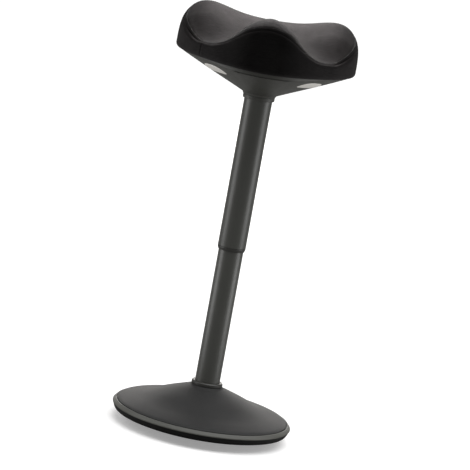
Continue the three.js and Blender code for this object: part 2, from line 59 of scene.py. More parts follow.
# ------------------------------------------------------------------ camera
def make_camera():
    """The photograph's view: from the front, a little above, with the picture turned so that the stool leans right."""
    pitch, yaw, roll = math.radians(10.515), math.radians(0.019), math.radians(10.27)
    forward = Vector((math.sin(yaw) * math.cos(pitch), math.cos(yaw) * math.cos(pitch), -math.sin(pitch)))
    right = forward.cross(Vector((0, 0, 1))).normalized()
    up = right.cross(forward)
    r2 = right * math.cos(roll) + up * math.sin(roll)
    u2 = up * math.cos(roll) - right * math.sin(roll)
    m = Matrix((r2, u2, -forward)).transposed().to_4x4()
    m.translation = Vector((0.0, -7.0, 1.70))
    data = bpy.data.cameras.new("camera")
    data.sensor_width = 36.0
    data.lens = 275.17
    data.clip_start, data.clip_end = 0.1, 60.0
    cam = bpy.data.objects.new("camera", data)
    cam.matrix_world = m
    scene.collection.objects.link(cam)
    scene.camera = cam


make_camera()


# ------------------------------------------------------------------ small helpers
def clamp(t, lo=0.0, hi=1.0):
    return np.minimum(hi, np.maximum(lo, t))


def sstep(t):
    c = clamp(t)
    return c * c * (3 - 2 * c)


def link(obj):
    scene.collection.objects.link(obj)
    return obj


def mesh_object(name, verts, faces, mat, sharp=None, scale=MM, recalc=True):
    """Mesh from points in millimetres; smooth, with edges above sharp degrees left crisp."""
    me = bpy.data.meshes.new(name)
    me.from_pydata([tuple(float(c) * scale for c in v) for v in verts], [], faces)
    bm = bmesh.new()
    bm.from_mesh(me)
    bmesh.ops.remove_doubles(bm, verts=bm.verts, dist=1e-7)
    if recalc:
        bmesh.ops.recalc_face_normals(bm, faces=bm.faces)
    for f in bm.faces:
        f.smooth = True
    if sharp is not None:
        limit = math.radians(sharp)
        for e in bm.edges:
            if len(e.link_faces) == 2 and e.calc_face_angle(0.0) > limit:
                e.smooth = False
    bm.to_mesh(me)
    bm.free()
    me.materials.append(mat)
    return link(bpy.data.objects.new(name, me))


def fillet(points, radii, steps=5, closed=True):
    """Rounds the corners of a polyline; radii is one number or one for each point."""
    n = len(points)
    if not hasattr(radii, "__len__"):
        radii = [radii] * n
    out = []
    for i, p in enumerate(points):
        r = radii[i]
        if r <= 0 or (not closed and i in (0, n - 1)):
            out.append(tuple(p))
            continue
        a, b = np.array(points[i - 1], float), np.array(points[(i + 1) % n], float)
        p = np.array(p, float)
        u, v = a - p, b - p
        lu, lv = np.linalg.norm(u), np.linalg.norm(v)
        u, v = u / lu, v / lv
        angle = math.acos(max(-1.0, min(1.0, float(u @ v))))
        if angle > math.radians(176):
            out.append(tuple(p))
            continue
        t = min(r / math.tan(angle / 2), 0.48 * lu, 0.48 * lv)
        s, e = p + u * t, p + v * t
        for k in range(steps + 1):
            w = k / steps
            q = (1 - w) ** 2 * s + 2 * w * (1 - w) * p + w * w * e
            out.append(tuple(q))
    return out


def catmull(points, per=6):
    """Open centripetal spline through points, with per pieces for each span."""
    pts = [np.array(p, float) for p in points]
    pts = [2 * pts[0] - pts[1]] + pts + [2 * pts[-1] - pts[-2]]
    out = []
    for i in range(1, len(pts) - 2):
        p0, p1, p2, p3 = pts[i - 1:i + 3]
        d0, d1, d2 = (max(np.linalg.norm(b - a) ** 0.5, 1e-6) for a, b in ((p0, p1), (p1, p2), (p2, p3)))
        t1 = ((p1 - p0) / d0 - (p2 - p0) / (d0 + d1) + (p2 - p1) / d1) * d1
        t2 = ((p2 - p1) / d1 - (p3 - p1) / (d1 + d2) + (p3 - p2) / d2) * d1
        for k in range(per):
            t = k / per
            out.append((2 * t ** 3 - 3 * t * t + 1) * p1 + (t ** 3 - 2 * t * t + t) * t1
                       + (-2 * t ** 3 + 3 * t * t) * p2 + (t ** 3 - t * t) * t2)
    out.append(pts[-2])
    return out


def lathe(name, profile, mat, n=192, sharp=32):
    """Closed solid of revolution about Z from a closed (r, z) profile."""
    verts, faces, rows = [], [], []
    for r, z in profile:
        if r < 1e-6:
            rows.append([len(verts)] * n)
            verts.append((0, 0, z))
        else:
            rows.append(list(range(len(verts), len(verts) + n)))
            verts += [(r * math.cos(2 * math.pi * i / n), r * math.sin(2 * math.pi * i / n), z) for i in range(n)]
    for k in range(len(rows)):
        a, b = rows[k], rows[(k + 1) % len(rows)]
        if a[0] == a[1] and b[0] == b[1]:
            continue
        for i in range(n):
            j = (i + 1) % n
            f = [a[i], a[j], b[j], b[i]]
            f = [v for m, v in enumerate(f) if v not in f[:m]]
            if len(f) > 2:
                faces.append(f)
    return mesh_object(name, verts, faces, mat, sharp)


def boolean(obj, cutters, operation="DIFFERENCE"):
    for c in cutters:
        m = obj.modifiers.new("cut", "BOOLEAN")
        m.operation, m.object, m.solver = operation, c, "EXACT"
    apply_modifiers(obj)
    for c in cutters:
        bpy.data.objects.remove(c)


def apply_modifiers(obj):
    bpy.context.view_layer.update()
    dg = bpy.context.evaluated_depsgraph_get()
    me = bpy.data.meshes.new_from_object(obj.evaluated_get(dg), preserve_all_data_layers=True, depsgraph=dg)
    old = obj.data
    obj.modifiers.clear()
    obj.data = me
    me.name = old.name + "_a"


def mark_sharp(obj, degrees):
    bm = bmesh.new()
    bm.from_mesh(obj.data)
    limit = math.radians(degrees)
    for f in bm.faces:
        f.smooth = True
    for e in bm.edges:
        e.smooth = not (len(e.link_faces) == 2 and e.calc_face_angle(0.0) > limit)
    bm.to_mesh(obj.data)
    bm.free()


# ------------------------------------------------------------------ materials
def new_material(name):
    mat = bpy.data.materials.new(name)
    mat.use_nodes = True
    nt = mat.node_tree
    bsdf = nt.nodes["Principled BSDF"]
    return mat, nt, bsdf


def node(nt, kind, **inputs):
    n = nt.nodes.new(kind)
    for k, v in inputs.items():
        if k in n.inputs:
            n.inputs[k].default_value = v
        else:
            setattr(n, k, v)
    return n


def plastic(name, colour, roughness, specular=0.5, grain=0.00035, grain_size=900.0, depth=0.25, mottle=0.10,
            metallic=0.0, coat=0.0, coat_rough=0.3, rough_var=0.06):
    """Moulded or painted surface: fine grain in the bump, faint cloudiness in colour and roughness."""
    mat, nt, b = new_material(name)
    b.inputs["Metallic"].default_value = metallic
    b.inputs["Specular IOR Level"].default_value = specular
    b.inputs["Coat Weight"].default_value = coat
    b.inputs["Coat Roughness"].default_value = coat_rough
    co = nt.nodes.new("ShaderNodeTexCoord")
    fine = node(nt, "ShaderNodeTexNoise", Scale=grain_size, Detail=3.0, Roughness=0.6)
    nt.links.new(co.outputs["Object"], fine.inputs["Vector"])
    cloud = node(nt, "ShaderNodeTexNoise", Scale=14.0, Detail=4.0, Roughness=0.55)
    nt.links.new(co.outputs["Object"], cloud.inputs["Vector"])
    ramp = nt.nodes.new("ShaderNodeMix")
    ramp.data_type = "RGBA"
    dark = [c * (1 - mottle) for c in colour] + [1]
    light = [min(1, c * (1 + mottle)) for c in colour] + [1]
    ramp.inputs["A"].default_value, ramp.inputs["B"].default_value = dark, light
    nt.links.new(cloud.outputs["Fac"], ramp.inputs["Factor"])
    nt.links.new(ramp.outputs["Result"], b.inputs["Base Color"])
    rough = node(nt, "ShaderNodeMapRange")
    rough.inputs["To Min"].default_value = max(0.02, roughness - rough_var)
    rough.inputs["To Max"].default_value = min(1.0, roughness + rough_var)
    nt.links.new(cloud.outputs["Fac"], rough.inputs["Value"])
    nt.links.new(rough.outputs["Result"], b.inputs["Roughness"])
    bump = node(nt, "ShaderNodeBump", Strength=depth, Distance=grain)
    nt.links.new(fine.outputs["Fac"], bump.inputs["Height"])
    nt.links.new(bump.outputs["Normal"], b.inputs["Normal"])
    return mat


def brushed(name, colour, roughness=0.3):
    """Plain or zinc-plated steel with fine drawn lines."""
    mat, nt, b = new_material(name)
    b.inputs["Metallic"].default_value = 1.0
    co = nt.nodes.new("ShaderNodeTexCoord")
    stretch = node(nt, "ShaderNodeMapping")
    stretch.inputs["Scale"].default_value = (60.0, 60.0, 1600.0)
    nt.links.new(co.outputs["Object"], stretch.inputs["Vector"])
    lines = node(nt, "ShaderNodeTexNoise", Scale=1.0, Detail=3.0, Roughness=0.6)
    nt.links.new(stretch.outputs["Vector"], lines.inputs["Vector"])
    mix = nt.nodes.new("ShaderNodeMix")
    mix.data_type = "RGBA"
    mix.inputs["A"].default_value = [c * 0.8 for c in colour] + [1]
    mix.inputs["B"].default_value = [min(1, c * 1.15) for c in colour] + [1]
    nt.links.new(lines.outputs["Fac"], mix.inputs["Factor"])
    nt.links.new(mix.outputs["Result"], b.inputs["Base Color"])
    rough = node(nt, "ShaderNodeMapRange")
    rough.inputs["To Min"].default_value, rough.inputs["To Max"].default_value = roughness - 0.08, roughness + 0.1
    nt.links.new(lines.outputs["Fac"], rough.inputs["Value"])
    nt.links.new(rough.outputs["Result"], b.inputs["Roughness"])
    bump = node(nt, "ShaderNodeBump", Strength=0.12, Distance=0.0002)
    nt.links.new(lines.outputs["Fac"], bump.inputs["Height"])
    nt.links.new(bump.outputs["Normal"], b.inputs["Normal"])
    return mat


def plywood(name):
    mat, nt, b = new_material(name)
    b.inputs["Roughness"].default_value = 0.7
    co = nt.nodes.new("ShaderNodeTexCoord")
    m = node(nt, "ShaderNodeMapping")
    m.inputs["Scale"].default_value = (5.0, 60.0, 700.0)
    nt.links.new(co.outputs["Object"], m.inputs["Vector"])
    grain = node(nt, "ShaderNodeTexNoise", Scale=1.0, Detail=5.0, Roughness=0.65)
    nt.links.new(m.outputs["Vector"], grain.inputs["Vector"])
    ramp = nt.nodes.new("ShaderNodeValToRGB")
    ramp.color_ramp.elements[0].color = (0.36, 0.23, 0.11, 1)
    ramp.color_ramp.elements[1].color = (0.66, 0.47, 0.26, 1)
    nt.links.new(grain.outputs["Fac"], ramp.inputs["Fac"])
    nt.links.new(ramp.outputs["Color"], b.inputs["Base Color"])
    bump = node(nt, "ShaderNodeBump", Strength=0.3, Distance=0.0004)
    nt.links.new(grain.outputs["Fac"], bump.inputs["Height"])
    nt.links.new(bump.outputs["Normal"], b.inputs["Normal"])
    return mat


def knit(name, dark, light, sheen_tint):
    """Close-set knitted cover: rows of small loops, with some paler yarns along the rows."""
    mat, nt, b = new_material(name)
    b.inputs["Roughness"].default_value = 0.9
    b.inputs["Specular IOR Level"].default_value = 0.05
    b.inputs["Sheen Weight"].default_value = 0.01
    b.inputs["Sheen Roughness"].default_value = 0.3
    b.inputs["Sheen Tint"].default_value = sheen_tint
    uv = nt.nodes.new("ShaderNodeUVMap")
    uv.uv_map = "weave"
    sep = nt.nodes.new("ShaderNodeSeparateXYZ")
    nt.links.new(uv.outputs["UV"], sep.inputs["Vector"])

    def maths(op, a, c=None):
        m = nt.nodes.new("ShaderNodeMath")
        m.operation = op
        for i, v in enumerate((a, c)):
            if v is None:
                continue
            if isinstance(v, (int, float)):
                m.inputs[i].default_value = v
            else:
                nt.links.new(v, m.inputs[i])
        return m.outputs[0]

    # uv is in metres: columns 1.3 mm apart, rows 1.0 mm apart, each loop leaning like a V
    u = maths("MULTIPLY", sep.outputs["X"], 2 * math.pi / 0.0013)
    half = maths("ABSOLUTE", maths("SINE", maths("MULTIPLY", u, 0.5)))
    v = maths("MULTIPLY", sep.outputs["Y"], 2 * math.pi / 0.0010)
    lean = maths("ADD", v, maths("MULTIPLY", half, 2.2))
    loops = maths("ADD", maths("MULTIPLY", maths("SINE", lean), 0.5), maths("MULTIPLY", half, 0.9))
    streak_map = node(nt, "ShaderNodeMapping")
    streak_map.inputs["Scale"].default_value = (55.0, 950.0, 1.0)
    nt.links.new(uv.outputs["UV"], streak_map.inputs["Vector"])
    streak = node(nt, "ShaderNodeTexNoise", Scale=1.0, Detail=3.0, Roughness=0.6)
    nt.links.new(streak_map.outputs["Vector"], streak.inputs["Vector"])
    co = nt.nodes.new("ShaderNodeTexCoord")
    cloud = node(nt, "ShaderNodeTexNoise", Scale=22.0, Detail=3.0, Roughness=0.5)
    nt.links.new(co.outputs["Object"], cloud.inputs["Vector"])
    tone = maths("ADD", maths("MULTIPLY", streak.outputs["Fac"], 0.75), maths("MULTIPLY", cloud.outputs["Fac"], 0.35))
    tone = maths("ADD", tone, maths("MULTIPLY", loops, 0.12))
    ramp = nt.nodes.new("ShaderNodeValToRGB")
    ramp.color_ramp.elements[0].position, ramp.color_ramp.elements[1].position = 0.38, 0.86
    ramp.color_ramp.elements[0].color, ramp.color_ramp.elements[1].color = (*dark, 1), (*light, 1)
    nt.links.new(tone, ramp.inputs["Fac"])
    nt.links.new(ramp.outputs["Color"], b.inputs["Base Color"])
    height = maths("ADD", maths("MULTIPLY", loops, 0.55), maths("MULTIPLY", streak.outputs["Fac"], 0.5))
    bump = node(nt, "ShaderNodeBump", Strength=0.55, Distance=0.0004)
    nt.links.new(height, bump.inputs["Height"])
    nt.links.new(bump.outputs["Normal"], b.inputs["Normal"])
    return mat


M = {
    "tube": plastic("tube_paint", (0.046, 0.047, 0.042), 0.38, specular=0.7, grain=0.0002, grain_size=700.0, depth=0.35),
    "cover": plastic("cover_plastic", (0.028, 0.028, 0.028), 0.60, specular=0.17, grain=0.0003, grain_size=1400.0, depth=0.5),
    "rim": plastic("rim_plastic", (0.066, 0.067, 0.059), 0.50, grain=0.0003, grain_size=1400.0, depth=0.45),
    "pan": plastic("pan_plastic", (0.043, 0.043, 0.038), 0.48, grain=0.0003, grain_size=1300.0, depth=0.5),
    "collar": plastic("black_nylon", (0.028, 0.028, 0.025), 0.42, grain=0.0002, grain_size=1300.0, depth=0.4),
    "paddle": plastic("paddle_plastic", (0.86, 0.83, 0.79), 0.42, grain=0.0002, grain_size=1500.0, depth=0.3, mottle=0.02),
    "sole": plastic("sole_rubber", (0.0040, 0.0040, 0.0040), 0.65, specular=0.30, grain=0.0006, grain_size=600.0, depth=0.5),
    "buffer": plastic("buffer_rubber", (0.015, 0.015, 0.015), 0.8, specular=0.3, grain=0.0005, grain_size=600.0),
    "nylon": plastic("bearing_nylon", (0.72, 0.70, 0.66), 0.45, mottle=0.03),
    "foam": plastic("foam", (0.16, 0.16, 0.15), 0.95, specular=0.1, grain=0.001, grain_size=400.0, depth=0.8),
    "black": plastic("black_steel", (0.016, 0.016, 0.017), 0.35, grain=0.0001, grain_size=500.0),
    "iron": plastic("ballast_iron", (0.06, 0.06, 0.062), 0.7, metallic=0.7, grain=0.001, grain_size=300.0, depth=0.6),
    "steel": brushed("plain_steel", (0.45, 0.45, 0.46), 0.34),
    "zinc": brushed("zinc_steel", (0.55, 0.57, 0.60), 0.30),
    "chrome": brushed("rod_chrome", (0.72, 0.72, 0.73), 0.14),
    "wood": plywood("plywood"),
    "knit": knit("seat_knit", (0.0115, 0.0106, 0.0107), (0.0315, 0.0290, 0.0293), (1.0, 0.92, 0.92, 1.0)),
    "thread": plastic("seat_thread", (0.012, 0.012, 0.012), 0.6, grain=0.0002, grain_size=2500.0),
}
SLOT_FINISH = {
    "seat_fabric": "knit", "foam": "foam", "plywood": "wood", "pan_plastic": "pan", "paddle_plastic": "paddle",
    "tube_paint": "tube", "cover_plastic": "cover", "rim_plastic": "rim", "sole_rubber": "sole",
    "buffer_rubber": "buffer", "plain_steel": "steel", "zinc_steel": "zinc", "black_steel": "black",
    "rod_chrome": "chrome", "ballast_iron": "iron", "bearing_nylon": "nylon", "black_nylon": "collar",
}
for entry in frame["record"]["subparts"]:
    obj = frame["nodes"][entry["node"]]
    for s in obj.material_slots:
        s.link = "OBJECT"
        s.material = M[SLOT_FINISH[entry["material_slot"]]]


def place(obj, body, slot, *nodes):
    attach(obj, body)
    if nodes:
        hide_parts(*nodes)
    return obj


# ------------------------------------------------------------------ base
def dome(r):
    return 0.0 if r <= 40 else (r * r - 1600) / 1636


def build_base():
    outer = catmull([(171.9, 38.9), (168, 41.2), (162, 43.3), (154, 45.7), (144, 48.5), (132, 51.6), (120, 55.2),
                     (105, 60.9), (90, 67.5), (75, 73.6), (60, 79.2), (48, 83.8), (38, 87.5), (33.6, 89.5), (31.8, 91.5)], 4)
    outer = [tuple(p) for p in outer]
    inner = [(29.3, 91.6), (29.3, 86.2), (60, 74.6), (120, 52.4), (160, 40), (168, 36.6), (168, 34.9), (171.9, 34.9)]
    prof = outer + inner
    radii = [0.9] + [0] * (len(outer) - 2) + [0.6] + [0.5, 0, 0, 0, 0, 0, 0, 0.3]
    cover = lathe("base_cover_shell", fillet(prof, radii), M["cover"], 256)
    place(cover, "base", "cover_plastic", "base_cover")

    pan = [(0, 4.3), (40, 4.3)] + [(r, dome(r) + 4.3) for r in (60, 80, 100, 120, 140, 152)] + [
        (163.6, 20.6), (165.4, 29.9), (180, 29.9), (180, 31.7), (174.6, 37.8), (173.3, 37.8), (173.3, 34.6),
        (162.5, 34.6), (160.6, 23.6)] + [(r, dome(r) + 7.3) for r in (152, 140, 120, 100, 80, 60)] + [(40, 7.3), (0, 7.3)]
    radii = [0] * len(pan)
    radii[10], radii[11], radii[12], radii[13] = 0.5, 1.6, 1.5, 0.3
    rim = lathe("base_rim_pan", fillet(pan, radii), M["rim"], 256)
    place(rim, "base", "rim_plastic", "base_pan")

    # rubber sole with fine concentric treads on the dome
    under = [(0, 0), (40, 0)]
    r = 44.0
    while r < 160:
        under += [(r, dome(r)), (r + 0.5, dome(r) + 0.9), (r + 1.9, dome(r) + 0.95), (r + 2.4, dome(r + 2.4))]
        r += 8.0
    under += [(164, dome(164)), (169, 16.9), (173.2, 18.3), (175.5, 20.8), (177.1, 24), (178.4, 27.4), (179.2, 29.6)]
    over = [(166, 29.6), (164.4, 20.6)] + [(q, dome(q) + 4) for q in (152, 130, 110, 90, 70, 55, 40)] + [(0, 4)]
    prof = under + over
    radii = [0] * len(under) + [0] * len(over)
    k = len(under)
    radii[k - 1] = 0.7
    for i in range(k - 7, k - 1):
        radii[i] = 3.0
    sole = lathe("rocker_sole_rubber", fillet(prof, radii, 3), M["sole"], 256)
    place(sole, "base", "sole_rubber", "rocker_sole")

    collar = fillet([(25.3, 84.6), (28.6, 84.6), (28.6, 91.9), (31.3, 92.1), (31.3, 97.6), (29.2, 99.8), (25.3, 99.8)],
                    [0, 0, 0.3, 1.2, 1.8, 1.6, 0.8])
    place(lathe("column_collar_ring", collar, M["collar"], 128), "base", "black_nylon", "column_collar")


build_base()


# ------------------------------------------------------------------ column
def build_column():
    t = fillet([(22.8, 25.6), (25, 25.6), (25, 420), (22.8, 420)], [0.2, 0.3, 0.7, 0.5])
    place(lathe("column_tube_lower", t, M["tube"], 128), "base", "tube_paint", "column_tube")
    s = fillet([(26.1, 378), (28.1, 378), (28.1, 700), (26.1, 700)], [0.2, 0.45, 0.3, 0.3])
    place(lathe("sleeve_tube_upper", s, M["tube"], 128), "seat", "tube_paint", "sleeve_tube")
    g = fillet([(25.3, 370), (26.4, 370), (28.1, 375), (28.1, 377.7), (25.8, 377.7), (25.8, 400), (25.3, 400)],
               [0.4, 0.8, 1.6, 0.35, 0.2, 0.1, 0.1])
    place(lathe("sleeve_end_ring", g, M["collar"], 128), "seat", "black_nylon", "sleeve_guide_ring")
    n = fillet([(28.4, 677), (31.6, 677), (31.6, 684.2), (28.4, 684.2)], [0.4, 1.0, 0.3, 0.3])
    place(lathe("neck_ring_trim", n, M["pan"], 128), "seat", "pan_plastic", "neck_ring")


build_column()

# ------------------------------------------------------------------ seat outline and surface
OUTLINE = [(0, -146), (28.3, -142), (55.5, -130), (83, -111), (109, -87), (132.5, -60.5), (152.5, -32), (168.7, -2),
           (177.8, 29), (179.8, 58.5), (172.7, 90.5), (152.5, 118), (120.2, 135), (80.8, 141), (40.4, 139), (0, 136)]
SEAT_Z, WIDE_Z, PAN_TOP = 746.7, 763.0, 746.3


def outline(n):
    """n points at even spacing along the closed widest outline, with outward normals."""
    p = np.array(OUTLINE + [(-x, y) for x, y in OUTLINE[1:-1][::-1]], float)
    l = len(p)

    def at(t):
        f = (t % 1.0) * l
        i = int(math.floor(f))
        w = f - i
        p0, p1, p2, p3 = p[(i - 1) % l], p[i % l], p[(i + 1) % l], p[(i + 2) % l]
        d0, d1, d2 = (np.linalg.norm(b - a) ** 0.5 for a, b in ((p0, p1), (p1, p2), (p2, p3)))
        t1 = ((p1 - p0) / d0 - (p2 - p0) / (d0 + d1) + (p2 - p1) / d1) * d1
        t2 = ((p2 - p1) / d1 - (p3 - p1) / (d1 + d2) + (p3 - p2) / d2) * d1
        return (2 * w ** 3 - 3 * w * w + 1) * p1 + (w ** 3 - 2 * w * w + w) * t1 + (-2 * w ** 3 + 3 * w * w) * p2 + (w ** 3 - w * w) * t2

    fine = np.array([at(k / 3000) for k in range(3001)])
    fine[-1] = fine[0]
    s = np.concatenate([[0], np.cumsum(np.linalg.norm(np.diff(fine, axis=0), axis=1))])
    want = np.arange(n) / n * s[-1]
    xy = np.stack([np.interp(want, s, fine[:, k]) for k in (0, 1)], 1)
    step = s[-1] / 3000
    a = np.stack([np.interp((want - step) % s[-1], s, fine[:, k]) for k in (0, 1)], 1)
    b = np.stack([np.interp((want + step) % s[-1], s, fine[:, k]) for k in (0, 1)], 1)
    t = b - a
    t /= np.linalg.norm(t, axis=1)[:, None]
    return xy, np.stack([t[:, 1], -t[:, 0]], 1), want


def z_top(x, y):
    """Height of the saddle."""
    ax = np.abs(x)
    bowl = 777.3 + 42.6 * sstep((y + 56.8) / 187.6) - 8.9 * clamp((ax - 118) / 60) ** 2
    spread = np.where(ax < 131.8, 41, 35.8)
    lobe = 23.6 * np.exp(-((ax - 131.8) ** 2) / (2 * spread * spread)) * sstep((y + 48.4) / 90) * (1 - 0.3 * sstep((y - 85) / 50))
    amp = (71.6 - 15.7 * clamp((-y - 84) / 55.5) ** 2.6) * (1 - sstep((y + 86) / 95))
    w = 130 - 15.8 * sstep((y + 50) / 100)
    ridge = np.where(ax < w, np.cos(np.pi * np.minimum(ax, w - 1e-6) / (2 * w)) ** 2.68, 0)
    # full shoulders on both flanks of the pommel, just behind the seam
    behind = np.maximum(0, y - np.interp(ax, [0, 28.3, 55.5, 83, 109], [-139.5, -135.6, -124, -105.5, -82])) / 25
    shoulder = 4.0 * np.exp(-((ax - 44) / 17) ** 2) * behind * np.exp(1 - behind)
    return bowl + lobe + amp * ridge + shoulder


def nose(y):
    return sstep((-y - 70) / 60)


N = 720
RIM, NRM, ARC = outline(N)
NOSE = nose(RIM[:, 1])
LIP = 2.9 + 4.6 * NOSE
SEAM_IN = 6.5


def inset(d):
    return RIM - NRM * (np.broadcast_to(d, (N,))[:, None])


def seat_rings(shrink=0.0):
    """Rings of the cushion from the hem round to the middle of the top; returns (rings, the kind of each ring, seam
    ring's index).
    """
    seam_xy = inset(SEAM_IN + shrink)
    seam_z = z_top(*inset(SEAM_IN).T) - shrink
    # cross-section of the band for every outline point, in (inset, z)
    ctrl = [
        (np.full(N, 11.5), np.full(N, SEAT_Z)),
        (np.full(N, 4.5), np.full(N, SEAT_Z + 0.3)),
        (np.full(N, 0.8), np.full(N, SEAT_Z + 3.8)),
        (np.zeros(N), np.full(N, WIDE_Z)),
        (np.full(N, 1.8), np.maximum(WIDE_Z + 2, (WIDE_Z + 2 * seam_z) / 3)),
        (np.full(N, SEAM_IN), seam_z),
    ]
    cross = []
    for i in range(N):
        pts = [(c[0][i] + shrink * (0.6 if k < 2 else 1), c[1][i] + (shrink if k < 2 else 0)) for k, c in enumerate(ctrl)]
        cross.append(catmull(pts, 7))
    cross = np.array(cross)                                       # N x m x 2
    rings, kind = [], []
    hem_in = inset(21.5)
    rings.append(np.column_stack([hem_in, np.full(N, 759.6)])); kind.append("pocket")
    rings.append(np.column_stack([hem_in, np.full(N, SEAT_Z + 0.3)])); kind.append("hem")
    for k in range(cross.shape[1]):
        xy = RIM - NRM * cross[:, k, 0][:, None]
        rings.append(np.column_stack([xy, cross[:, k, 1]])); kind.append("band")
    seam_index = len(rings) - 1
    ss = [1 - 0.0045, 1 - 0.010, 1 - 0.018, 1 - 0.028, 1 - 0.040, 1 - 0.054, 1 - 0.070, 1 - 0.088]
    ss += list(np.linspace(0.89, 0.03, 44))
    for s in ss:
        xy = seam_xy * s
        rings.append(np.column_stack([xy, z_top(*xy.T) - shrink])); kind.append("top")
    return rings, kind, seam_index


def seat_mesh(name, rings, top_z, mat):
    verts = np.concatenate(rings)
    n, faces = N, []
    for k in range(len(rings) - 1):
        a, b = k * n, (k + 1) * n
        for i in range(n):
            j = (i + 1) % n
            faces.append((a + i, a + j, b + j, b + i))
    c0, c1 = len(verts), len(verts) + 1
    verts = np.concatenate([verts, [[0, 0, rings[0][0][2]]], [[0, 0, top_z]]])
    for i in range(n):
        j = (i + 1) % n
        faces.append((j, i, c0))
        last = (len(rings) - 1) * n
        faces.append((last + i, last + j, c1))
    me = bpy.data.meshes.new(name)
    me.from_pydata((verts * MM).tolist(), [], faces)
    me.polygons.foreach_set("use_smooth", [True] * len(me.polygons))
    me.materials.append(mat)
    me.update()
    return link(bpy.data.objects.new(name, me))


def inflate(rings, seam_index):
    """Cloth simulation of the stuffed cover on a remeshed copy, sewn down at the seam and the hem.
    Returns rest points and their displacement, in metres."""
    obj = seat_mesh("sim_pad", rings, z_top(0, 0) - 2.5, M["knit"])
    m = obj.modifiers.new("remesh", "REMESH")
    m.mode, m.voxel_size = "VOXEL", 0.0055
    apply_modifiers(obj)
    me = obj.data
    rest = np.zeros(len(me.vertices) * 3)
    me.vertices.foreach_get("co", rest)
    rest = rest.reshape(-1, 3).copy()
    seam = kdtree.KDTree(N * 1)
    for i, p in enumerate(rings[seam_index]):
        seam.insert(Vector(p) * MM, i)
    seam.balance()
    pin = obj.vertex_groups.new(name="pin")
    for i, p in enumerate(rest):
        d = seam.find(Vector(p))[2]
        w = 1.0 if p[2] < 0.7525 else max(0.0, 1.0 - d / 0.006)
        if w > 0:
            pin.add([i], float(w), "REPLACE")
    cloth = obj.modifiers.new("cloth", "CLOTH")
    cs = cloth.settings
    cs.quality = 6
    cs.mass = 0.25
    cs.tension_stiffness = cs.compression_stiffness = 12.0
    cs.shear_stiffness = 6.0
    cs.bending_stiffness = 0.6
    cs.vertex_group_mass = "pin"
    cs.pin_stiffness = 1.0
    cs.use_pressure = True
    cs.uniform_pressure_force = 4.0
    cs.effector_weights.gravity = 0.0
    cloth.collision_settings.use_collision = False
    cloth.point_cache.frame_start, cloth.point_cache.frame_end = 1, 20
    for f in range(1, 21):
        scene.frame_set(f)
    dg = bpy.context.evaluated_depsgraph_get()
    ev = obj.evaluated_get(dg).to_mesh()
    out = np.zeros(len(ev.vertices) * 3)
    ev.vertices.foreach_get("co", out)
    disp = out.reshape(-1, 3) - rest
    obj.evaluated_get(dg).to_mesh_clear()
    obj.modifiers.clear()
    scene.frame_set(1)
    bpy.data.objects.remove(obj)
    return rest, disp


